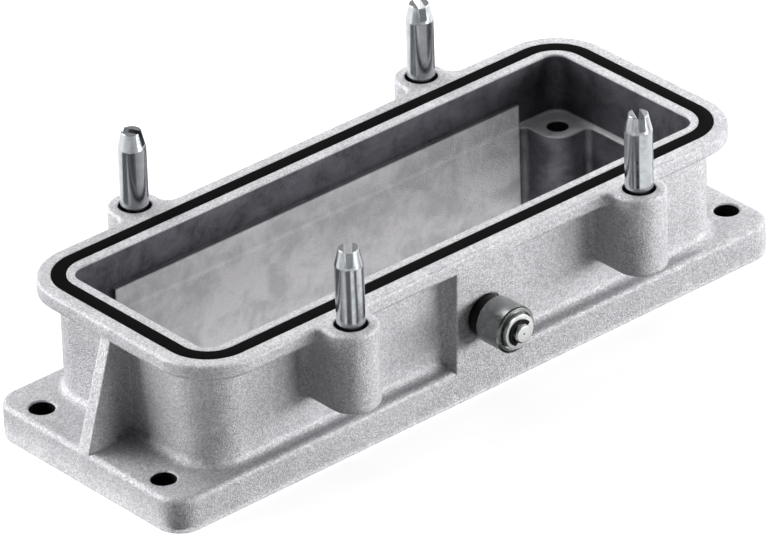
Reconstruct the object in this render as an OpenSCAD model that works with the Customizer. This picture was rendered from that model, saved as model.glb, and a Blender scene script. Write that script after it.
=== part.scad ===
// Rectangular bulkhead connector housing, die-cast in one piece, with four screwed guide pins,
// two locking pegs that carry rollers, and two moulded seals.
// Millimetres. The origin is the centre of the base's underside, X is the long axis, Z is up.

/* [Cavity] */
// Length of the cavity above the insert seat
cavity_length = 112.4; // [100:0.1:150]
// Width of the cavity above the insert seat
cavity_width = 36.4; // [34:0.1:60]
// Corner radius of the cavity
cavity_corner_r = 3.1; // [1:0.1:3.6]
// Depth from the rim down to the seat that the contact insert rests on
seat_depth = 11.5; // [8:0.1:16]
// How much narrower the cavity is below the seat, on each side
seat_step = 0.5; // [0.2:0.1:1]

/* [Insert screws] */
// From the cavity end to the screw axis
insert_inset_x = 4.2; // [3:0.1:6]
// From the cavity's long wall to the screw axis
insert_inset_y = 4.7; // [3.5:0.1:6]
// Radius of the corner boss round each screw
insert_boss_r = 4.1; // [3.4:0.1:5]
// Fillet where a corner boss runs into the walls
insert_boss_fillet = 1.1; // [0.5:0.1:2]
// Diameter of the tapped hole
insert_thread_d = 4; // [3:0.1:5]
// Depth of the tapped hole
insert_thread_depth = 10; // [6:0.5:14]

/* [Inner lands] */
// From the cavity end to the end of the flat land on each long inner wall
land_inset = 9.6; // [8:0.1:20]
// From the rim down to the top of the land
land_depth = 7; // [4:0.1:10]
// How far the land stands in from the wall
land_proud = 0.6; // [0.55:0.05:1]

/* [Walls and rim] */
// Thickness of the wall above the insert seat
wall_thick = 3.15; // [2:0.05:5]
// Radius from the corner centre to the cavity face
corner_r = 3.9; // [3.7:0.1:6]
// Height of the rim over the panel
rim_top = 28.6; // [26:0.1:45]
// Thickness of the rim
rim_thick = 2.6; // [2.4:0.1:5]
// Rounding of the rim's top outer edge
rim_edge_r = 0.6; // [0.2:0.1:0.9]
// Rounding of the cavity's top edge
lip_edge_r = 0.3; // [0.1:0.05:0.6]
// Fillet between the wall and the underside of the rim
rim_fillet = 1.2; // [0.5:0.1:1.6]
// Fillet between the wall and the flange
foot_fillet = 1.5; // [0.5:0.1:2]
// Width of the lip inside the seal groove
lip_in = 1.8; // [1:0.1:3]
// Width of the seal groove
groove_w = 2.7; // [2:0.1:4]
// Depth of the seal groove
groove_depth = 1.8; // [1:0.1:2.2]
// Width of the lip outside the seal groove
lip_out = 2.45; // [1.5:0.05:4]

/* [Flange] */
// Thickness of the flange
flange_thick = 6.6; // [5:0.1:9]
// From the end wall to the end of the flange
flange_ledge_x = 10; // [9:0.1:16]
// From the side wall to the side of the flange
flange_ledge_y = 3; // [2.5:0.1:3.6]
// Corner radius of the flange
flange_corner_r = 4.8; // [2:0.1:7]
// Rounding of the flange's top edge
flange_edge_r = 1; // [0.3:0.1:1.5]
// Diameter of the four fixing holes
flange_hole_d = 4.6; // [3:0.1:5.6]
// From the end of the flange to a fixing hole's axis
flange_hole_inset_x = 4.35; // [4:0.05:5.5]
// From the side of the flange to a fixing hole's axis
flange_hole_inset_y = 8.35; // [5:0.05:12]

/* [Panel seal] */
// Width of the groove in the underside
panel_groove_w = 2.4; // [1.5:0.1:2.8]
// Depth of the groove in the underside
panel_groove_depth = 1.8; // [1:0.1:3]
// From the cavity face out to the groove
panel_groove_offset = 2.2; // [1.5:0.1:2.4]

/* [Pin bosses] */
// Distance between the pins along the housing
pin_pitch = 66; // [40:0.5:80]
// From the rim's side face out to the pin axis
pin_standoff = 2.95; // [2.4:0.05:5]
// Radius of a pin boss
pin_boss_r = 4.8; // [4:0.1:6]
// Height of a pin boss, down from the rim
pin_boss_height = 15.3; // [12:0.1:18]
// Rounding of a boss's bottom edge
boss_edge_r = 0.8; // [0.3:0.1:1.2]
// Fillet in plan between a boss and the rim
boss_rim_fillet = 2.2; // [1:0.1:2.8]
// Fillet in plan between a boss and the wall
boss_wall_fillet = 1.6; // [0.5:0.1:2.5]
// Diameter of the bore that the pin stands in
pin_bore_d = 6; // [5.6:0.1:7]
// Depth of that bore
pin_bore_depth = 9; // [5:0.1:10]

/* [Guide pins] */
// Diameter of a guide pin
pin_d = 5; // [4:0.1:5.4]
// Height of a guide pin over the rim
pin_proud = 14.5; // [8:0.05:25]
// Length of the conical tip
pin_cone = 3.1; // [2:0.05:5]
// Diameter of the flat end of the tip
pin_tip_d = 3.5; // [2:0.1:3.8]
// Diameter of the neck that stands in the bore
pin_neck_d = 4.5; // [4.2:0.1:4.9]
// Gap between the rim and the wide part of a pin
pin_gap = 0.4; // [0.2:0.05:1]
// Width of the screwdriver slot
slot_w = 1.3; // [0.8:0.1:1.6]
// Depth of the screwdriver slot
slot_depth = 2.5; // [1:0.1:3.5]
// Diameter of the threaded foot
pin_foot_d = 4; // [3:0.1:4.5]
// Length of the threaded foot
pin_foot = 5.6; // [4:0.1:6]
// Direction of each slot from the long axis: front left, front right, back left, back right
slot_turn = [49, 63, -63, 66]; // [-90:1:90]

/* [Locking pegs] */
// Width of the pad that carries a peg
pad_width = 13.2; // [11:0.1:20]
// Rounding of the pad's upright edges
pad_edge_r = 1.2; // [0.3:0.1:1.4]
// Fillet between the pad and the wall
pad_fillet = 1.2; // [0.5:0.1:1.8]
// From the rim down to the peg axis
peg_drop = 13.05; // [10:0.05:14]
// From the rim's side face in to the machined seat of the peg
peg_seat_inset = 0.6; // [0.55:0.05:0.65]
// Diameter of the stud under the roller
stud_d = 4.2; // [3.8:0.1:4.6]
// Diameter of the stud's end
stud_end_d = 3.4; // [3.2:0.1:3.8]
// Length of the shank that is pressed into the pad
stud_shank = 5; // [3:0.1:5.2]
// Diameter of that shank
stud_shank_d = 4; // [3:0.1:4.2]
// Length of the stud past the clip groove
stud_end = 0.7; // [0.5:0.1:2]
// Outer diameter of the roller
roller_d = 8.6; // [8:0.1:9.4]
// Length of the roller
roller_length = 5.6; // [4:0.1:9]
// Chamfer at both ends of the roller
roller_chamfer = 0.3; // [0.1:0.05:0.4]
// Depth of the shallow recess in the roller's outer end
roller_recess = 0.6; // [0.2:0.05:1]
// Rim left round that recess
roller_rim = 0.45; // [0.4:0.05:0.6]
// Thickness of the spacer between the pad and the roller
spacer_thick = 2.25; // [1:0.05:3]
// Outer diameter of that spacer
spacer_d = 7.4; // [6.4:0.1:7.8]
// Thickness of the washer in front of the roller
washer_thick = 1.45; // [0.6:0.05:2]
// Outer diameter of that washer
washer_d = 6.3; // [5.6:0.1:6.6]
// Thickness of the retaining clip
clip_thick = 0.3; // [0.25:0.05:1]
// Outer diameter of the retaining clip
clip_d = 4.9; // [4.6:0.1:5.6]
// Diameter of the groove that the clip snaps into
clip_groove_d = 2.8; // [2.4:0.1:3]
// Direction of the clip's closed side, seen from outside
clip_turn = 137; // [0:1:359]

/* [End ribs] */
// Thickness of a rib at the rim
rib_top_w = 2.4; // [1.5:0.1:4]
// Thickness of a rib at the flange
rib_foot_w = 2.8; // [2:0.1:6]

/* [Fits] */
// Radial play between the roller and its stud
roller_play = 0.05; // [0.02:0.01:0.1]
// End play of the roller on each side
roller_end_play = 0.1; // [0.05:0.05:0.3]
// Radial clearance of pressed and screwed shanks
seat_play = 0.02; // [0.01:0.01:0.05]
// Side clearance of the seals in their grooves
seal_play = 0.05; // [0.02:0.01:0.2]
// Height of the rim seal's rounded crown over the rim
seal_crown = 0.15; // [0:0.05:0.5]
// Play between the clip and the wall of its groove
clip_play = 0.05; // [0.02:0.01:0.1]

/* [Hidden] */
$fn = 96;
// Overlap where shapes join or cut through
lap = 1;
small_chamfer = 0.25;

// Corner centres that wall, rim and both grooves share
centre_x = cavity_length / 2 - corner_r;
centre_y = cavity_width / 2 - corner_r;

// Radii from the corner centre
wall_r = corner_r + wall_thick;
groove_in_r = corner_r + lip_in;
groove_out_r = groove_in_r + groove_w;
rim_r = groove_out_r + lip_out;
panel_in_r = corner_r + panel_groove_offset;

// Faces measured from the middle of the housing
wall_y = centre_y + wall_r;
wall_x = centre_x + wall_r;
rim_y = centre_y + rim_r;
rim_x = centre_x + rim_r;
flange_x = wall_x + flange_ledge_x;
flange_y = wall_y + flange_ledge_y;

// Heights
rim_under = rim_top - rim_thick;
seat_z = rim_top - seat_depth;
land_top = rim_top - land_depth;
boss_base = rim_top - pin_boss_height;
pin_seat = rim_top - pin_bore_depth;
peg_z = rim_top - peg_drop;
pad_foot = flange_thick - flange_edge_r;

// Hole patterns
insert_x = cavity_length / 2 - insert_inset_x;
insert_y = cavity_width / 2 - insert_inset_y;
hole_x = flange_x - flange_hole_inset_x;
hole_y = flange_y - flange_hole_inset_y;
pin_x = pin_pitch / 2;
pin_y = rim_y + pin_standoff;

// Places along a peg, measured outward from its seat
peg_seat = rim_y - peg_seat_inset;
roller_back = spacer_thick + roller_end_play;
roller_front = roller_back + roller_length;
washer_back = roller_front - roller_recess + roller_end_play;
washer_front = washer_back + washer_thick;
groove_front = washer_front + clip_thick + clip_play;
stud_tip = groove_front + stud_end;

// Concave quarter round in the corner between two faces
module fillet_section(r) {
    difference() {
        square(r);
        translate([r, r]) circle(r);
    }
}

// What a rounded edge of radius r takes off a square corner at the origin
module edge_section(r) {
    translate([-r, -r]) difference() {
        square(r + lap);
        circle(r);
    }
}

// Half section of a solid of half width w and height h, with its top edge rounded by e
module rounded_top_section(w, h, e) {
    square([w, h - e]);
    square([w - e, h]);
    translate([w - e, h - e]) circle(e);
}

// Carries a section round a rectangle whose corner centres are at x, y:
// the section's x is the distance outward from the corner centre, its y is the height
module sweep_round(x, y) {
    for (a = [0 : 3])
        translate([(a == 0 || a == 3 ? 1 : -1) * x, (a < 2 ? 1 : -1) * y, 0])
            rotate(90 * a) rotate_extrude(angle = 90) children();
    for (a = [0, 180]) rotate(a) {
        translate([x, y, 0]) rotate([90, 0, 0]) linear_extrude(2 * y) children();
        rotate(90) translate([y, x, 0]) rotate([90, 0, 0]) linear_extrude(2 * x) children();
    }
}

module sweep_frame() {
    sweep_round(centre_x, centre_y) children();
}

module at_four(x, y) {
    for (sx = [-1, 1], sy = [-1, 1]) translate([sx * x, sy * y, 0]) children();
}

// Draws its children at the back and again, turned half round, at the front
module front_and_back() {
    for (a = [0, 180]) rotate(a) children();
}

module rounded_rectangle(l, w, r) {
    square([l - 2 * r, w], center = true);
    square([l, w - 2 * r], center = true);
    at_four(l / 2 - r, w / 2 - r) circle(r);
}

// Wall and rim in section, with the fillets at foot and rim
module wall_section() {
    square([wall_r, rim_under + lap]);
    translate([wall_r, flange_thick]) fillet_section(foot_fillet);
    translate([wall_r, rim_under]) mirror([0, 1]) fillet_section(rim_fillet);
    translate([0, rim_under]) rounded_top_section(rim_r, rim_thick, rim_edge_r);
}

module flange_plate() {
    x = flange_x - flange_corner_r;
    y = flange_y - flange_corner_r;
    linear_extrude(flange_thick) square([2 * x, 2 * y], center = true);
    sweep_round(x, y) rounded_top_section(flange_corner_r, flange_thick, flange_edge_r);
}

// Solid block that the cavity is then cut from
module frame_block() {
    linear_extrude(rim_top) square([2 * centre_x, 2 * centre_y], center = true);
    sweep_frame() wall_section();
}

// Section of a cutter of radius r that flares by e at height h and so leaves a rounded edge there
module bell_section(r, h, e) {
    square([r, h + lap]);
    translate([r, h - e]) difference() {
        square([e, e + lap]);
        translate([e, 0]) circle(e);
    }
}

// Boss of a guide pin, drawn round the pin axis, with the housing on its -Y side
module pin_boss() {
    translate([0, 0, boss_base]) {
        rotate_extrude() boss_section();
        rotate([90, 0, 0]) linear_extrude(pin_y - wall_y + lap) for (s = [0, 1])
            mirror([s, 0]) boss_section();
    }
    for (s = [0, 1]) mirror([s, 0, 0]) {
        wall_corner();
        rim_corner();
    }
}

// Half section of a boss, rounded like the rim on top and by its own radius at the bottom
module boss_section() {
    e = boss_edge_r;
    square([pin_boss_r - e, pin_boss_height / 2]);
    translate([pin_boss_r - e, e]) circle(e);
    translate([0, e]) rounded_top_section(pin_boss_r, pin_boss_height - e, rim_edge_r);
}

// Fillet between a boss and the wall, whose bottom edge carries the boss's rounding round the curve
module wall_corner() {
    r = boss_wall_fillet;
    to_wall = pin_y - wall_y;
    height = rim_under + lap - boss_base;
    difference() {
        translate([pin_boss_r - lap, -to_wall - lap, boss_base]) cube([r + lap, r + lap, height]);
        translate([pin_boss_r + r, r - to_wall, boss_base + height + lap])
            mirror([0, 0, 1]) rotate_extrude() bell_section(r, height + lap, boss_edge_r);
    }
}

// Fillet between a boss and the rim, whose top edge carries the rim's rounding round the curve
module rim_corner() {
    r = boss_rim_fillet;
    difference() {
        translate([pin_boss_r - lap, -pin_standoff - lap, rim_under])
            cube([r + lap, r + lap, rim_thick]);
        translate([pin_boss_r + r, r - pin_standoff, rim_under - lap])
            rotate_extrude() bell_section(r, rim_thick + lap, rim_edge_r);
    }
}

// Pad of a locking peg on the +Y side: its face leans out from the flange's side to the rim's
module peg_pad() {
    lean = atan((rim_y - flange_y) / (rim_under - pad_foot));
    difference() {
        translate([-pad_width / 2, 0, 0]) rotate([90, 0, 90]) linear_extrude(pad_width) polygon([
            [wall_y - lap, 0], [flange_y, 0], [flange_y, pad_foot],
            [rim_y, rim_under], [wall_y - lap, rim_under + lap]
        ]);
        for (s = [0, 1]) mirror([s, 0, 0])
            translate([pad_width / 2, flange_y, pad_foot]) rotate([-lean, 0, 0])
                linear_extrude(rim_top) edge_section(pad_edge_r);
        translate([0, peg_seat, peg_z]) rotate([-90, 0, 0])
            cylinder(r = spacer_d / 2 + small_chamfer, h = lap);
    }
    for (s = [0, 1]) mirror([s, 0, 0]) translate([pad_width / 2, wall_y, pad_foot])
        linear_extrude(rim_under + small_chamfer - pad_foot) fillet_section(pad_fillet);
}

// Gusset at the +X end, thicker at its foot, from the flange's edge up to the rim
module end_rib() {
    intersection() {
        translate([0, rib_foot_w / 2, 0]) rotate([90, 0, 0]) linear_extrude(rib_foot_w) polygon([
            [wall_x - lap, pad_foot], [flange_x, pad_foot], [rim_x, rim_under],
            [rim_x - lap, rim_under + lap], [wall_x - lap, rim_under + lap]
        ]);
        rotate([90, 0, 90]) linear_extrude(flange_x) polygon([
            [-rib_foot_w / 2, 0], [rib_foot_w / 2, 0], [rib_foot_w / 2, flange_thick],
            [rib_top_w / 2, rim_under], [rib_top_w / 2, rim_top],
            [-rib_top_w / 2, rim_top], [-rib_top_w / 2, rim_under], [-rib_foot_w / 2, flange_thick]
        ]);
    }
}

// Plan of one corner boss for an insert screw, with the corner of the cavity on its +X +Y side
module insert_boss_plan() {
    to_x = insert_inset_x - seat_step;
    to_y = insert_inset_y - seat_step;
    r = insert_boss_r;
    circle(r);
    translate([-r, 0]) square([r + to_x + lap, to_y + lap]);
    translate([0, -r]) square([to_x + lap, r + lap]);
    for (p = [[-r, to_y], [to_x, -r]]) translate(p) rotate(180) fillet_section(insert_boss_fillet);
}

// Openings of the cavity in plan: below the seat, between the seat and the land's top, and above
module cavity_plan(step) {
    rounded_rectangle(cavity_length - 2 * step, cavity_width - 2 * step, cavity_corner_r - step);
}

module land_plan() {
    for (s = [-1, 1]) translate([0, s * (cavity_width / 2 + lap - land_proud)])
        square([cavity_length - 2 * land_inset, 2 * lap], center = true);
}

module cavity() {
    translate([0, 0, -lap]) linear_extrude(seat_z + lap) difference() {
        cavity_plan(seat_step);
        for (sx = [0, 1], sy = [0, 1]) mirror([sx, 0]) mirror([0, sy])
            translate([insert_x, insert_y]) insert_boss_plan();
        land_plan();
    }
    translate([0, 0, seat_z - small_chamfer]) linear_extrude(land_top + small_chamfer - seat_z) difference() {
        cavity_plan(0);
        land_plan();
    }
    translate([0, 0, land_top]) {
        linear_extrude(rim_top - land_top + lap) cavity_plan(0);
        translate([0, 0, lap]) sweep_round(cavity_length / 2 - cavity_corner_r, cavity_width / 2 - cavity_corner_r)
            bell_section(cavity_corner_r, rim_top - land_top - lap, lip_edge_r);
    }
}

// Places of the tapped hole for each insert screw
module insert_holes() {
    at_four(insert_x, insert_y) translate([0, 0, seat_z - insert_thread_depth])
        cylinder(d = insert_thread_d, h = insert_thread_depth + lap);
}

module pin_holes() {
    at_four(pin_x, pin_y) {
        translate([0, 0, pin_seat]) cylinder(d = pin_bore_d, h = pin_bore_depth + lap);
        translate([0, 0, boss_base - lap]) cylinder(d = pin_foot_d + 2 * seat_play, h = rim_top - boss_base);
    }
}

// Fixing holes with a broken edge on top
module flange_holes() {
    r = flange_hole_d / 2;
    at_four(hole_x, hole_y) {
        translate([0, 0, -lap]) cylinder(r = r, h = flange_thick + 2 * lap);
        translate([0, 0, flange_thick - small_chamfer])
            cylinder(r1 = r, r2 = r + small_chamfer + lap, h = small_chamfer + lap);
    }
}

module housing() {
    color("#b9bbbc") difference() {
        union() {
            flange_plate();
            frame_block();
            for (s = [-1, 1]) front_and_back() translate([s * pin_x, pin_y, 0]) pin_boss();
            front_and_back() peg_pad();
            for (a = [0, 180]) rotate(a) end_rib();
        }
        cavity();
        insert_holes();
        pin_holes();
        translate([0, 0, rim_top - groove_depth]) sweep_frame()
            translate([groove_in_r, 0]) square([groove_w, groove_depth + lap]);
        translate([0, 0, -lap]) sweep_frame()
            translate([panel_in_r, 0]) square([panel_groove_w, panel_groove_depth + lap]);
        flange_holes();
        front_and_back() translate([0, peg_seat - stud_shank, peg_z]) rotate([-90, 0, 0])
            cylinder(d = stud_shank_d + 2 * seat_play, h = stud_shank + lap);
    }
}

// Seal in the rim: it fills the groove and its crown is an arc from edge to edge
module rim_seal() {
    w = groove_w - 2 * seal_play;
    crown_r = (w * w / 4 + seal_crown * seal_crown) / (2 * seal_crown);
    color("#1b1b1d") translate([0, 0, rim_top - groove_depth]) sweep_frame()
        translate([groove_in_r + seal_play + w / 2, 0]) intersection() {
            translate([-w / 2, 0]) square([w, groove_depth + seal_crown]);
            translate([0, groove_depth + seal_crown - crown_r]) circle(crown_r);
        }
}

// Flat seal in the underside, shown pressed flush with the panel
module panel_seal() {
    color("#1b1b1d") sweep_frame() translate([panel_in_r + seal_play, 0])
        square([panel_groove_w - 2 * seal_play, panel_groove_depth]);
}

// Guide pin at its own place: threaded foot, neck with its shoulder on the floor of the bore,
// wide part just clear of the rim, slotted cone on top
module guide_pin(sx, sy, turn) {
    length = pin_bore_depth + pin_proud;
    wide = pin_bore_depth + pin_gap;
    color("#9aa5a6") translate([sx * pin_x, sy * pin_y, pin_seat]) difference() {
        union() {
            translate([0, 0, -pin_foot]) cylinder(d = pin_foot_d, h = pin_foot + lap);
            cylinder(d = pin_neck_d, h = wide + lap);
            translate([0, 0, wide]) cylinder(d = pin_d, h = length - pin_cone - wide);
            translate([0, 0, length - pin_cone]) cylinder(d1 = pin_d, d2 = pin_tip_d, h = pin_cone);
        }
        rotate(turn) translate([-pin_d, -slot_w / 2, length - slot_depth])
            cube([2 * pin_d, slot_w, slot_depth + lap]);
    }
}

// Turns a piece drawn round Z into its place on the peg of one side, with its Z pointing outward
module on_peg(side) {
    translate([0, side * peg_seat, peg_z]) rotate([-90 * side, 0, 0]) children();
}

module peg_stud(side) {
    r = stud_end_d / 2;
    color("#c3c8c6") on_peg(side) rotate_extrude() difference() {
        union() {
            translate([0, -stud_shank]) square([stud_shank_d / 2, stud_shank + lap]);
            square([stud_d / 2, washer_back]);
            square([r, stud_tip - small_chamfer]);
            square([r - small_chamfer, stud_tip]);
            translate([0, stud_tip - small_chamfer]) polygon([
                [0, 0], [r, 0], [r - small_chamfer, small_chamfer], [0, small_chamfer]
            ]);
        }
        translate([clip_groove_d / 2, washer_front]) square([r, groove_front - washer_front]);
        translate([0, stud_tip]) polygon([[0, -small_chamfer], [small_chamfer, 0], [small_chamfer, lap], [0, lap]]);
    }
}

module peg_spacer(side) {
    color("#232325") on_peg(side) difference() {
        cylinder(d = spacer_d, h = spacer_thick);
        translate([0, 0, -lap]) cylinder(d = stud_d + 2 * seat_play, h = spacer_thick + 2 * lap);
    }
}

module roller(side) {
    outer = roller_d / 2;
    bore = stud_d / 2 + roller_play;
    c = roller_chamfer;
    l = roller_length;
    color("#55514d") on_peg(side) translate([0, 0, roller_back]) rotate_extrude() difference() {
        polygon([[bore, 0], [outer - c, 0], [outer, c], [outer, l - c], [outer - c, l], [bore, l]]);
        translate([0, l - roller_recess]) square([outer - roller_rim - c, roller_recess + lap]);
    }
}

module peg_washer(side) {
    color("#c3c8c6") on_peg(side) translate([0, 0, washer_back]) difference() {
        cylinder(d = washer_d, h = washer_thick);
        translate([0, 0, -lap]) cylinder(d = stud_end_d + 2 * seat_play, h = washer_thick + 2 * lap);
    }
}

// Half-round clip with three prongs that reach into the groove
module retaining_clip(side) {
    ring_r = stud_end_d / 2 + 2 * clip_play;
    prong_w = 1.2;
    color("#2a2a2c") on_peg(side) translate([0, 0, washer_front])
        rotate(side < 0 ? clip_turn : 180 - clip_turn) linear_extrude(clip_thick) difference() {
            union() {
                difference() {
                    circle(d = clip_d);
                    circle(ring_r);
                }
                for (a = [-90, 0, 90]) rotate(a) translate([0, -prong_w / 2]) square([ring_r + clip_play, prong_w]);
            }
            circle(d = clip_groove_d + 2 * seat_play);
            translate([-clip_d, -clip_groove_d / 2]) square([clip_d, clip_groove_d]);
            translate([-clip_d - prong_w / 2, -clip_d]) square([clip_d, 2 * clip_d]);
        }
}

housing();
rim_seal();
panel_seal();
guide_pin(-1, -1, slot_turn[0]);  // guide_pin_front_left
guide_pin(1, -1, slot_turn[1]);  // guide_pin_front_right
guide_pin(-1, 1, slot_turn[2]);  // guide_pin_back_left
guide_pin(1, 1, slot_turn[3]);  // guide_pin_back_right
peg_stud(-1);  // peg_stud_front
peg_spacer(-1);  // peg_spacer_front
roller(-1);  // roller_front
peg_washer(-1);  // peg_washer_front
retaining_clip(-1);  // retaining_clip_front
peg_stud(1);  // peg_stud_back
peg_spacer(1);  // peg_spacer_back
roller(1);  // roller_back
peg_washer(1);  // peg_washer_back
retaining_clip(1);  // retaining_clip_back
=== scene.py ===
import math

import bpy
import numpy as np
from mathutils import Matrix, Vector

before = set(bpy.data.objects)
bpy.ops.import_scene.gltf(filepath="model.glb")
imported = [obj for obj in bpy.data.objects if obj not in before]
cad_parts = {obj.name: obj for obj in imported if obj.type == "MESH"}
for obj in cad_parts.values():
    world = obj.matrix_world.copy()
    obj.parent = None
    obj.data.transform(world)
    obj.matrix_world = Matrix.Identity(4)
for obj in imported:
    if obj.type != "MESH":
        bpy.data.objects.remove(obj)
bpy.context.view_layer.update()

# Camera. The photograph is a long-lens product shot from the front left, a little above the rim.
# The lens is in millimetres on a 36 mm wide sensor, the distances are in metres.
AZIMUTH = math.radians(40.659)
ELEVATION = math.radians(29.889)
ROLL = math.radians(-1.85)
DISTANCE = 1.3931
SENSOR = 36
LENS = 378.6
TARGET = Vector((-0.00119, 0, 0.01503))
NEAR_CLIP = 0.1
FAR_CLIP = 20


def look_from(azimuth, elevation, roll, target, distance):
    """World matrix of a camera that stands at an azimuth and elevation and looks at target."""
    back = Vector((-math.sin(azimuth) * math.cos(elevation),
                   -math.cos(azimuth) * math.cos(elevation),
                   math.sin(elevation)))
    side = Vector((math.cos(azimuth), -math.sin(azimuth), 0))
    up = back.cross(side)
    right = side * math.cos(roll) + up * math.sin(roll)
    matrix = Matrix((right, back.cross(right), back)).transposed().to_4x4()
    matrix.translation = target + back * distance
    return matrix


scene = bpy.context.scene
scene.view_settings.view_transform = "Standard"
camera = bpy.data.objects.new("camera", bpy.data.cameras.new("camera"))
camera.data.sensor_width = SENSOR
camera.data.lens = LENS
camera.data.clip_start = NEAR_CLIP
camera.data.clip_end = FAR_CLIP
camera.matrix_world = look_from(AZIMUTH, ELEVATION, ROLL, TARGET, DISTANCE)
scene.collection.objects.link(camera)
scene.camera = camera

# Studio. A white paper sweep in a tent that is white to the camera and dim to the object, with six
# soft boxes round and over it. Dark and pale cards that the camera doesn't see lie on the paper
# round the housing: its upright faces mirror them and take their light and shade from them.
PAPER_SIZE = 8.0
PAPER_DIFFUSE = 0.5
PAPER_LIFT = 0.87
TENT_LEVEL = 0.03
WHITE = (1, 1, 1, 1)


def linear(hex_colour):
    """sRGB hex colour as linear RGBA, by the sRGB curve."""
    v = np.array([int(hex_colour[i:i + 2], 16) for i in (1, 3, 5)]) / 255
    v = np.where(v <= 0.04045, v / 12.92, ((v + 0.055) / 1.055) ** 2.4)
    return (*v.tolist(), 1.0)


def add_node(tree, kind, sockets=None, **settings):
    """Adds one shader node: settings are its own properties, sockets its inputs by name or number,
    each given as a value or as the output that feeds it."""
    made = tree.nodes.new(kind)
    for name, value in settings.items():
        setattr(made, name, value)
    for name, value in (sockets or {}).items():
        if isinstance(value, bpy.types.NodeSocket):
            tree.links.new(value, made.inputs[name])
        else:
            made.inputs[name].default_value = value
    return made


def new_material(name):
    """Empty node material, as (material, tree)."""
    material = bpy.data.materials.new(name)
    material.use_nodes = True
    material.node_tree.nodes.clear()
    return material, material.node_tree


def grid_surface(name, points):
    """Mesh object through a grid of points, an array of rows x columns x 3: each face joins four
    neighbours, wound so that it faces up where rows run along X and columns along Y."""
    rows, columns = points.shape[:2]
    first = (np.arange(rows - 1)[:, None] * columns + np.arange(columns - 1)[None, :]).ravel()
    faces = np.stack([first, first + columns, first + columns + 1, first + 1], axis=1)
    mesh = bpy.data.meshes.new(name)
    mesh.from_pydata(points.reshape(-1, 3).tolist(), [], faces.tolist())
    made = bpy.data.objects.new(name, mesh)
    scene.collection.objects.link(made)
    return made


def flat_card(name, x0, x1, y0, y1, z, turn=0.0, centre=(0.0, 0.0)):
    """Level rectangle at height z: the grid of its x and y is turned by turn radians about the
    origin and then carried to centre."""
    x, y = np.meshgrid(np.array([x0, x1]), np.array([y0, y1]), indexing="ij")
    points = np.stack([x * math.cos(turn) - y * math.sin(turn) + centre[0],
                       x * math.sin(turn) + y * math.cos(turn) + centre[1],
                       np.full_like(x, z)], axis=-1)
    return grid_surface(name, points)


# The camera, mirrored rays and rays through glass find the paper white, by a glow that no other ray
# sees; the light that it throws back on the housing is that of a mid grey.
paper, tree = new_material("white paper sweep")
path = add_node(tree, "ShaderNodeLightPath").outputs
seen = add_node(tree, "ShaderNodeMath", {0: path["Is Camera Ray"], 1: path["Is Glossy Ray"]},
                operation="ADD", use_clamp=True)
seen = add_node(tree, "ShaderNodeMath", {0: seen.outputs[0], 1: path["Is Transmission Ray"]},
                operation="ADD", use_clamp=True)
lift = add_node(tree, "ShaderNodeMath", {0: seen.outputs[0], 1: PAPER_LIFT}, operation="MULTIPLY")
matt = add_node(tree, "ShaderNodeBsdfDiffuse", {"Color": (PAPER_DIFFUSE,) * 3 + (1,)})
glow = add_node(tree, "ShaderNodeEmission", {"Color": WHITE, "Strength": lift.outputs[0]})
both = add_node(tree, "ShaderNodeAddShader", {0: matt.outputs[0], 1: glow.outputs[0]})
add_node(tree, "ShaderNodeOutputMaterial", {"Surface": both.outputs[0]})

half = PAPER_SIZE / 2
floor = flat_card("paper_sweep", -half, half, -half, half, 0.0)
floor.data.materials.append(paper)


def card_material(name, hex_colour):
    """Matt paper of one colour for the cards."""
    material, tree = new_material(name)
    matt = add_node(tree, "ShaderNodeBsdfDiffuse", {"Color": linear(hex_colour)})
    add_node(tree, "ShaderNodeOutputMaterial", {"Surface": matt.outputs[0]})
    return material


black_card = card_material("black card", "#101011")
slate_card = card_material("slate card", "#6c6c6e")
dark_card = card_material("dark card", "#2c2c2e")
grey_card = card_material("grey card", "#747476")
pale_card = card_material("pale card", "#acacae")

# Under the open cavity lies a card that glows, as the real opening lets light in from behind.
glow_card, tree = new_material("glowing card")
glow = add_node(tree, "ShaderNodeEmission", {"Color": WHITE, "Strength": 1.0})
add_node(tree, "ShaderNodeOutputMaterial", {"Surface": glow.outputs[0]})

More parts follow.
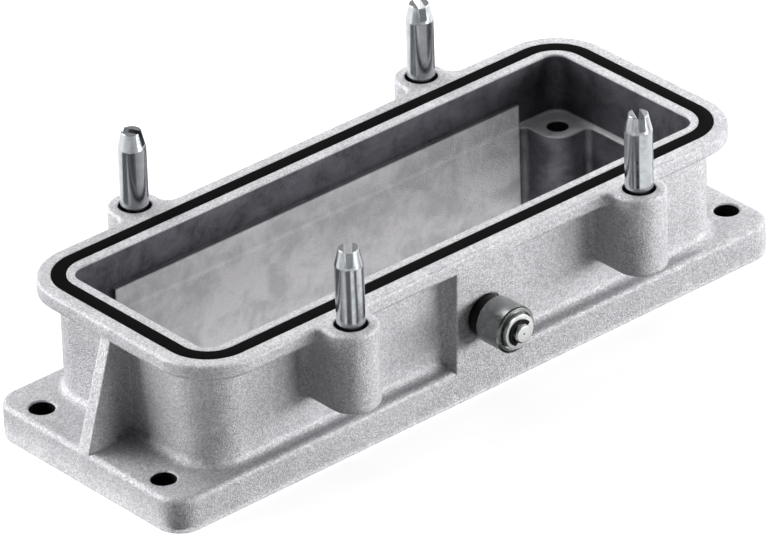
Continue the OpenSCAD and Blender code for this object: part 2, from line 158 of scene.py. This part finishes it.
# Each card lies from x0 to x1 and from y0 to y1 at height z. One that has a centre is turned to
# face the camera, and its x and y count from there.
TO_CAMERA = -AZIMUTH
PIN_AXIS = (0.033, 0.0281)
LEFT_PIN = (-PIN_AXIS[0], -PIN_AXIS[1])
RIGHT_PIN = (PIN_AXIS[0], -PIN_AXIS[1])
FLANGE_CORNER = (-0.0672, -0.0222)
CARDS = (
    ("card_under_cavity", -0.0545, 0.0545, -0.0172, 0.0172, 0.0004, glow_card, None),
    ("card_under_left_end", -0.0688, -0.0600, -0.0225, 0.0225, 0.0004, black_card, None),
    ("card_under_right_end", 0.0600, 0.0688, -0.0225, 0.0225, 0.0004, black_card, None),
    ("card_at_flange", -0.066, 0.0693, -0.0335, -0.0246, 0.0005, pale_card, None),
    ("card_front_left", -0.012, 0.006, -0.0595, -0.030, 0.0006, slate_card, None),
    ("card_front_middle", 0.006, 0.028, -0.0475, -0.030, 0.0006, slate_card, None),
    ("card_front_right", 0.028, 0.074, -0.0595, -0.030, 0.0006, slate_card, None),
    ("card_back", -0.112, 0.112, 0.0243, 0.070, 0.0006, slate_card, None),
    ("card_left", -0.090, -0.0740, -0.030, 0.0243, 0.0006, slate_card, None),
    ("card_corner", -0.005, 0.005, -0.016, -0.001, 0.0007, black_card, FLANGE_CORNER),
    ("card_left_boss_far", -0.050, 0.020, -0.300, -0.082, 0.0012, black_card, LEFT_PIN),
    ("card_right_boss_far", -0.011, 0.014, -0.300, -0.082, 0.0012, black_card, RIGHT_PIN),
    ("card_front_far", -0.010, 0.300, -0.250, -0.108, 0.0006, slate_card, None),
    ("card_left_far", -0.300, -0.104, -0.050, 0.090, 0.0006, slate_card, None),
    ("card_right", 0.0693, 0.112, -0.0243, 0.0243, 0.0006, slate_card, None),
    ("card_left_boss", -0.024, 0.010, -0.052, -0.018, 0.0008, black_card, LEFT_PIN),
    ("card_right_boss", -0.024, 0.003, -0.052, -0.018, 0.0008, black_card, RIGHT_PIN),
    ("strip_left_pin", -0.040, 0.010, -0.082, -0.052, 0.0010, grey_card, LEFT_PIN),
    ("strip_right_pin", -0.062, 0.002, -0.082, -0.052, 0.0010, dark_card, RIGHT_PIN),
)
for name, x0, x1, y0, y1, z, material, centre in CARDS:
    if centre:
        card = flat_card(name, x0, x1, y0, y1, z, TO_CAMERA, centre)
    else:
        card = flat_card(name, x0, x1, y0, y1, z)
    card.data.materials.append(material)
    card.visible_camera = False
    # The black cards are there for mirrored rays alone and take no soft light off the housing.
    card.visible_diffuse = material is not black_card
    card.visible_shadow = False


def soft_box(name, place, aim, size_x, size_y, watts):
    """Rectangular lamp at place that faces aim; its power is in watts."""
    light = bpy.data.lights.new(name, "AREA")
    light.shape = "RECTANGLE"
    light.size, light.size_y = size_x, size_y
    light.energy = watts
    made = bpy.data.objects.new(name, light)
    made.matrix_world = Matrix.LocRotScale(
        Vector(place), (Vector(place) - Vector(aim)).to_track_quat("Z", "Y"), None)
    made.visible_camera = False
    scene.collection.objects.link(made)


AIM = (0, 0, 0.01)
RIGHT_END = (0.05, 0, 0.01)
soft_box("soft_box_right_front", (1.34, -1.75, 0.26), AIM, 2.1, 0.50, 56.5)
soft_box("soft_box_left_back", (-1.36, 1.56, 0.52), AIM, 2.0, 1.0, 54.0)
# The next two stand close, so that the flange and the rim get brighter towards the right end.
soft_box("soft_box_right_back", (0.294, 0.414, 0.415), AIM, 0.96, 0.60, 0.7)
soft_box("soft_box_right", (0.42, 0.10, 0.30), RIGHT_END, 0.40, 0.40, 1.6)
soft_box("soft_box_back", (-0.16, 1.28, 1.66), AIM, 1.2, 0.7, 18.0)
soft_box("soft_box_top", (0.05, 0.10, 2.10), AIM, 1.5, 1.1, 7.5)

# The tent is white to the camera and dim to the object.
world = bpy.data.worlds.new("white tent")
world.use_nodes = True
tree = world.node_tree
path = add_node(tree, "ShaderNodeLightPath").outputs
level = add_node(tree, "ShaderNodeMath", {0: path["Is Camera Ray"], 1: TENT_LEVEL},
                 operation="MAXIMUM")
tree.nodes["Background"].inputs["Color"].default_value = WHITE
tree.links.new(level.outputs[0], tree.nodes["Background"].inputs["Strength"])
scene.world = world

# Housing. One pressure die casting in an aluminium-silicon alloy, deburred and bead-blasted: a pale
# grey satin skin with a fine sparkling grain, and a flat land on each long wall of the cavity that
# the core left smoother. Inside the cavity the skin is cloudier, and its shade is painted in
# darker.
GRAIN = 0.24e-3
PITTING = 1.1e-3
CLOUD = 5.0e-3
GRAIN_DEPTH = 0.16e-3
SWELL_DEPTH = 0.6e-3
EDGE_RADIUS = 0.6e-3
BEVEL_SAMPLES = 6
# Half length, half width and top of four boxes: the cavity, its lands, the machined seat with the
# tops of the insert bosses, and all that lies below that seat.
CAVITY_HALF = (0.0564, 0.0184, 0.0283)
LAND_HALF = (0.04655, 0.01775, 0.02155)
SEAT_HALF = (0.0564, 0.0184, 0.0175)
LOW_HALF = (0.0564, 0.0184, 0.0167)
# Axis, radius and top of the drilled bores.
FLANGE_BORE = (0.065, 0.016, 0.00242, 0.00630)
PIN_BORE = (*PIN_AXIS, 0.00312, 0.0283)


def all_under(tree, values, limits, soften):
    """1 where every value is under its limit, else 0, with a soft step between: the product of
    one falling ramp for each value."""
    share, *others = (
        add_node(tree, "ShaderNodeMapRange", {
            "Value": value, "From Min": limit - soften, "From Max": limit + soften,
            "To Min": 1.0, "To Max": 0.0}).outputs[0]
        for value, limit in zip(values, limits))
    for ramp in others:
        share = add_node(tree, "ShaderNodeMath", {0: share, 1: ramp},
                         operation="MULTIPLY").outputs[0]
    return share


def inside_box(tree, position, half, soften=0.2e-3):
    """1 where |x|, |y| and |z| are all under the three limits, else 0."""
    parts = add_node(tree, "ShaderNodeSeparateXYZ", {0: position}).outputs
    sides = [add_node(tree, "ShaderNodeMath", {0: parts[axis]}, operation="ABSOLUTE").outputs[0]
             for axis in "XYZ"]
    return all_under(tree, sides, half, soften)


def inside_bore(tree, position, x, y, radius, top, soften=0.08e-3):
    """1 within radius of the upright axes at (+-x, +-y) and below top, else 0: the length of
    (|x| - axis x, |y| - axis y) is held under the radius."""
    parts = add_node(tree, "ShaderNodeSeparateXYZ", {0: position}).outputs
    flat = []
    for axis, centre in (("X", x), ("Y", y)):
        side = add_node(tree, "ShaderNodeMath", {0: parts[axis]}, operation="ABSOLUTE").outputs[0]
        flat.append(add_node(tree, "ShaderNodeMath", {0: side, 1: centre},
                             operation="SUBTRACT").outputs[0])
    flat = add_node(tree, "ShaderNodeCombineXYZ", {"X": flat[0], "Y": flat[1]}).outputs[0]
    away = add_node(tree, "ShaderNodeVectorMath", {0: flat}, operation="LENGTH").outputs["Value"]
    return all_under(tree, (away, parts["Z"]), (radius, top), soften)


def layered(tree, colour, layers):
    """Colour with the colour of each layer laid over it in turn, by the layer's own share. Inputs
    6 and 7 of a Mix node are its two colours and output 2 is the mixed one."""
    for share, over in layers:
        colour = add_node(tree, "ShaderNodeMix", {0: share, 6: colour, 7: over},
                          data_type="RGBA").outputs[2]
    return colour


def drifting(tree, pattern, low, high, colour_a, colour_b):
    """Colour that drifts from a to b as the pattern rises from low to high."""
    share = add_node(tree, "ShaderNodeMapRange", {
        "Value": pattern, "From Min": low, "From Max": high}).outputs[0]
    return layered(tree, linear(colour_a), ((share, linear(colour_b)),))


def dress(node, material):
    """Gives a CAD node its material."""
    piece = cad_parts[node]
    piece.data.materials.clear()
    piece.data.materials.append(material)


casting, tree = new_material("bead-blasted aluminium die casting")
where = add_node(tree, "ShaderNodeTexCoord").outputs["Object"]
# Grain is 1.5 to 2 pixels here, the coarsest of the real blasted skin, so that it shows.
grain = add_node(tree, "ShaderNodeTexNoise", {
    "Vector": where, "Scale": 1 / GRAIN, "Detail": 2.0, "Roughness": 0.65}).outputs["Fac"]
pits = add_node(tree, "ShaderNodeTexNoise", {
    "Vector": where, "Scale": 1 / PITTING, "Detail": 4.0, "Roughness": 0.7}).outputs["Fac"]
cloud = add_node(tree, "ShaderNodeTexNoise", {
    "Vector": where, "Scale": 1 / CLOUD, "Detail": 5.0, "Roughness": 0.62,
    "Distortion": 0.4}).outputs["Fac"]
cavity = inside_box(tree, where, CAVITY_HALF)
land = inside_box(tree, where, LAND_HALF)
# Inside the drilled bores, where their shade is painted in.
bore_shade = add_node(tree, "ShaderNodeMath", {
    0: inside_bore(tree, where, *FLANGE_BORE), 1: inside_bore(tree, where, *PIN_BORE)},
    operation="MAXIMUM").outputs[0]

# Clouds of a slightly lighter grey run over every part. The cavity is pitted and its shade is
# painted in: its walls are painted dark, its seat was milled bright after casting, and the walls
# below the seat are painted a dull mid grey, a less dark painted shade.
skin = drifting(tree, cloud, 0.35, 0.65, "#d5d4d8", "#dfdee1")
# Painted shade: a dark grey for the cavity's walls, and a less dark one below the seat.
painted_cavity_shade = drifting(tree, cloud, 0.38, 0.62, "#37363d", "#5a5961")
low = drifting(tree, cloud, 0.38, 0.62, "#504f55", "#6f6e74")
smooth_land = drifting(tree, cloud, 0.38, 0.60, "#cfced1", "#eceaed")
pitted = add_node(tree, "ShaderNodeMapRange", {
    "Value": pits, "From Min": 0.40, "From Max": 0.62, "To Max": 0.75}).outputs[0]
# The cavity's painted shade, with its pits, the bright seat and the painted shade below the seat
# laid over it.
painted_cavity_shade = layered(tree, painted_cavity_shade, (
    (pitted, linear("#505155")),
    (inside_box(tree, where, SEAT_HALF), linear("#e2e1e4")),
    (inside_box(tree, where, LOW_HALF), low)))
colour = layered(tree, skin, ((cavity, painted_cavity_shade), (land, smooth_land)))

# Each blasted dimple throws the light its own way: one level of grey a dimple, and hardly any in
# the cavity.
dimple = add_node(tree, "ShaderNodeTexVoronoi", {"Vector": where, "Scale": 1 / GRAIN},
                  feature="F1").outputs["Color"]
dimple = add_node(tree, "ShaderNodeSeparateColor", {0: dimple}).outputs[0]
dimple = add_node(tree, "ShaderNodeMath", {0: cavity, 1: 0.75, 2: dimple},
                  operation="MULTIPLY_ADD", use_clamp=True).outputs[0]
shaded = add_node(tree, "ShaderNodeMix", {0: 1.0, 6: colour, 7: linear("#cdcdcd")},
                  data_type="RGBA", blend_type="MULTIPLY").outputs[2]
colour = layered(tree, shaded, ((dimple, colour),))

# The rounded normal softens every sharp edge as blasting does; where it leaves the face's own
# normal is an edge. Edges, hollow ones too, are a little brighter: rubbing on the outer edges,
# and a painted highlight.
rounded = add_node(tree, "ShaderNodeBevel", {"Radius": EDGE_RADIUS},
                   samples=BEVEL_SAMPLES).outputs[0]
faced = add_node(tree, "ShaderNodeNewGeometry").outputs["Normal"]
turned = add_node(tree, "ShaderNodeVectorMath", {0: rounded, 1: faced},
                  operation="DOT_PRODUCT").outputs["Value"]
# Edges painted a little brighter: wear on the outer edges and a painted highlight on all of them.
edge_wear_and_highlight = add_node(tree, "ShaderNodeMapRange", {
    "Value": turned, "From Min": 0.995, "From Max": 0.80, "To Max": 0.1}).outputs[0]
# The drilled bores were never blasted; the shade deep in them is painted in as a dull dark grey.
colour = layered(tree, colour, ((edge_wear_and_highlight, linear("#d6d7d8")), (bore_shade, linear("#2b2a2d"))))

# Pits lie under the grain, and the die's own face swells slowly under both. The cavity is glossier
# than the blasted skin, and the lands show dull cast skin rather than bare metal.
height = add_node(tree, "ShaderNodeMath", {0: pits, 1: 0.25, 2: grain},
                  operation="MULTIPLY_ADD").outputs[0]
relief = add_node(tree, "ShaderNodeBump", {
    "Height": height, "Strength": 1.0, "Distance": GRAIN_DEPTH, "Normal": rounded}).outputs[0]
swell = add_node(tree, "ShaderNodeBump", {
    "Height": cloud, "Strength": 0.35, "Distance": SWELL_DEPTH, "Normal": relief}).outputs[0]
rough = add_node(tree, "ShaderNodeMapRange", {
    "Value": grain, "From Min": 0.3, "From Max": 0.7, "To Min": 0.58, "To Max": 0.72}).outputs[0]
smoother = add_node(tree, "ShaderNodeMapRange", {
    "Value": cavity, "To Min": 1.0, "To Max": 0.7}).outputs[0]
rough = add_node(tree, "ShaderNodeMath", {0: smoother, 1: rough}, operation="MULTIPLY").outputs[0]
bare = add_node(tree, "ShaderNodeMapRange", {
    "Value": land, "To Min": 0.85, "To Max": 0.2}).outputs[0]
shader = add_node(tree, "ShaderNodeBsdfPrincipled", {
    "Base Color": colour, "Metallic": bare, "Roughness": rough, "Normal": swell})
add_node(tree, "ShaderNodeOutputMaterial", {"Surface": shader.outputs[0]})
dress("housing", casting)

# Seals. A moulded nitrile rubber ring lies in the rim's groove, and a flat one in the groove under
# the flange: matt black with a dull bloom, and smoother where the mould was polished.
BLOOM = 4.0e-3
MOULD_GRAIN = 0.35e-3
MOULD_DEPTH = 0.03e-3
rubber, tree = new_material("moulded nitrile rubber")
where = add_node(tree, "ShaderNodeTexCoord").outputs["Object"]
bloom = add_node(tree, "ShaderNodeTexNoise", {
    "Vector": where, "Scale": 1 / BLOOM, "Detail": 4.0, "Roughness": 0.6}).outputs["Fac"]
mould = add_node(tree, "ShaderNodeTexNoise", {
    "Vector": where, "Scale": 1 / MOULD_GRAIN, "Detail": 2.0, "Roughness": 0.5}).outputs["Fac"]
relief = add_node(tree, "ShaderNodeBump", {
    "Height": mould, "Strength": 0.3, "Distance": MOULD_DEPTH}).outputs[0]
rough = add_node(tree, "ShaderNodeMapRange", {
    "Value": bloom, "From Min": 0.3, "From Max": 0.7, "To Min": 0.62, "To Max": 0.78}).outputs[0]
shader = add_node(tree, "ShaderNodeBsdfPrincipled", {
    "Base Color": drifting(tree, bloom, 0.35, 0.7, "#070708", "#0d0d0e"),
    "Roughness": rough, "IOR": 1.52, "Specular IOR Level": 0.025, "Normal": relief})
add_node(tree, "ShaderNodeOutputMaterial", {"Surface": shader.outputs[0]})
dress("rim_seal", rubber)
dress("panel_seal", rubber)

# Guide pins. Turned steel, bright zinc plated with a pale blue passivation; each is screwed into
# its boss with a driver across the slotted cone, and stands just clear of the rim.
TURNING = 0.28e-3
TURNING_DEPTH = 0.03e-3
ROUND_THE_PIN = 60
ZINC_FILM = 1.6e-3
PIN_EDGE = 0.18e-3
zinc, tree = new_material("bright zinc plated turned steel")
where = add_node(tree, "ShaderNodeTexCoord").outputs["Object"]
# Tool marks run round the pin, so the pattern is fine along Z and long across it. They are drawn
# coarser than a real finishing cut, so that they show.
marks = add_node(tree, "ShaderNodeMapping", {
    "Vector": where, "Scale": (ROUND_THE_PIN, ROUND_THE_PIN, 1 / TURNING)}).outputs[0]
marks = add_node(tree, "ShaderNodeTexNoise", {
    "Vector": marks, "Scale": 1.0, "Detail": 2.0, "Roughness": 0.6}).outputs["Fac"]
film = add_node(tree, "ShaderNodeTexNoise", {
    "Vector": where, "Scale": 1 / ZINC_FILM, "Detail": 3.0, "Roughness": 0.6}).outputs["Fac"]
rounded = add_node(tree, "ShaderNodeBevel", {"Radius": PIN_EDGE}, samples=BEVEL_SAMPLES).outputs[0]
relief = add_node(tree, "ShaderNodeBump", {
    "Height": marks, "Strength": 0.25, "Distance": TURNING_DEPTH, "Normal": rounded}).outputs[0]
rough = add_node(tree, "ShaderNodeMapRange", {
    "Value": film, "From Min": 0.3, "From Max": 0.7, "To Min": 0.16, "To Max": 0.26}).outputs[0]
shader = add_node(tree, "ShaderNodeBsdfPrincipled", {
    "Base Color": drifting(tree, film, 0.35, 0.65, "#b9bdc1", "#aeb1b4"),
    "Metallic": 1.0, "Roughness": rough, "Normal": relief})
add_node(tree, "ShaderNodeOutputMaterial", {"Surface": shader.outputs[0]})
for end in ("front_left", "front_right", "back_left", "back_right"):
    dress("guide_pin_" + end, zinc)

# Locking pegs. A bright turned stud is pressed into the pad; a black moulded spacer, the roller, a
# bright washer and a black snap clip sit on it in that order. The lever of the hood rides over the
# roller, which is hardened and chemically blackened and has worn to a cool mid grey.
PEG_Z = 0.01555
STEEL_FILM = 1.2e-3
MOTTLE = 0.8e-3
MOTTLE_DEPTH = 0.04e-3


def turned_marks(tree, position, spacing):
    """Rings about the peg's axis on end faces and bands round it on the barrels: noise read at
    (distance from the axis, place along it), both divided by the spacing."""
    centred = add_node(tree, "ShaderNodeMapping", {
        "Vector": position, "Location": (0, 0, -PEG_Z)}).outputs[0]
    parts = add_node(tree, "ShaderNodeSeparateXYZ", {0: centred}).outputs
    flat = add_node(tree, "ShaderNodeCombineXYZ", {"X": parts["X"], "Y": parts["Z"]}).outputs[0]
    radius = add_node(tree, "ShaderNodeVectorMath", {0: flat}, operation="LENGTH").outputs["Value"]
    place = add_node(tree, "ShaderNodeCombineXYZ", {"X": radius, "Y": parts["Y"]}).outputs[0]
    return add_node(tree, "ShaderNodeTexNoise", {
        "Vector": place, "Scale": 1 / spacing, "Detail": 2.0, "Roughness": 0.6}).outputs["Fac"]


def turned_metal(name, colours, roughness, spacing, depth, edge):
    """Metal whose colour and roughness drift with a thin film, with turning marks of the given
    spacing and depth and a broken edge of radius edge."""
    material, tree = new_material(name)
    where = add_node(tree, "ShaderNodeTexCoord").outputs["Object"]
    film = add_node(tree, "ShaderNodeTexNoise", {
        "Vector": where, "Scale": 1 / STEEL_FILM, "Detail": 4.0, "Roughness": 0.65}).outputs["Fac"]
    rounded = add_node(tree, "ShaderNodeBevel", {"Radius": edge}, samples=BEVEL_SAMPLES).outputs[0]
    relief = add_node(tree, "ShaderNodeBump", {
        "Height": turned_marks(tree, where, spacing), "Strength": 0.4, "Distance": depth,
        "Normal": rounded}).outputs[0]
    rough = add_node(tree, "ShaderNodeMapRange", {
        "Value": film, "From Min": 0.3, "From Max": 0.7,
        "To Min": roughness[0], "To Max": roughness[1]}).outputs[0]
    shader = add_node(tree, "ShaderNodeBsdfPrincipled", {
        "Base Color": drifting(tree, film, 0.35, 0.68, *colours),
        "Metallic": 1.0, "Roughness": rough, "Normal": relief})
    add_node(tree, "ShaderNodeOutputMaterial", {"Surface": shader.outputs[0]})
    return material


# Bright steel is a soft silver, blackened steel mirrors the same room darker and sharper, and
# phosphate is a dull near-black. All three are drawn with marks coarse enough to show.
bright_steel = turned_metal("bright turned steel", ("#e6e8e6", "#dcdedc"), (0.32, 0.42),
                            spacing=0.25e-3, depth=0.02e-3, edge=0.12e-3)
blackened = turned_metal("blackened hardened steel", ("#9c9f9e", "#888a89"), (0.24, 0.34),
                         spacing=0.3e-3, depth=0.008e-3, edge=0.1e-3)
phosphated = turned_metal("phosphated spring steel", ("#252527", "#1a1a1c"), (0.42, 0.58),
                          spacing=0.3e-3, depth=0.01e-3, edge=0.08e-3)

# The spacer is a satin black with a faint mottle from the mould.
polyamide, tree = new_material("moulded black polyamide")
where = add_node(tree, "ShaderNodeTexCoord").outputs["Object"]
mottle = add_node(tree, "ShaderNodeTexNoise", {
    "Vector": where, "Scale": 1 / MOTTLE, "Detail": 4.0, "Roughness": 0.6}).outputs["Fac"]
relief = add_node(tree, "ShaderNodeBump", {
    "Height": mottle, "Strength": 0.2, "Distance": MOTTLE_DEPTH}).outputs[0]
rough = add_node(tree, "ShaderNodeMapRange", {
    "Value": mottle, "From Min": 0.3, "From Max": 0.7, "To Min": 0.42, "To Max": 0.55}).outputs[0]
shader = add_node(tree, "ShaderNodeBsdfPrincipled", {
    "Base Color": layered(tree, linear("#0c0c0d"), ((mottle, linear("#141415")),)),
    "Roughness": rough, "IOR": 1.53, "Specular IOR Level": 0.2, "Normal": relief})
add_node(tree, "ShaderNodeOutputMaterial", {"Surface": shader.outputs[0]})

for side in ("front", "back"):
    dress("peg_stud_" + side, bright_steel)
    dress("peg_spacer_" + side, polyamide)
    dress("roller_" + side, blackened)
    dress("peg_washer_" + side, bright_steel)
    dress("retaining_clip_" + side, phosphated)
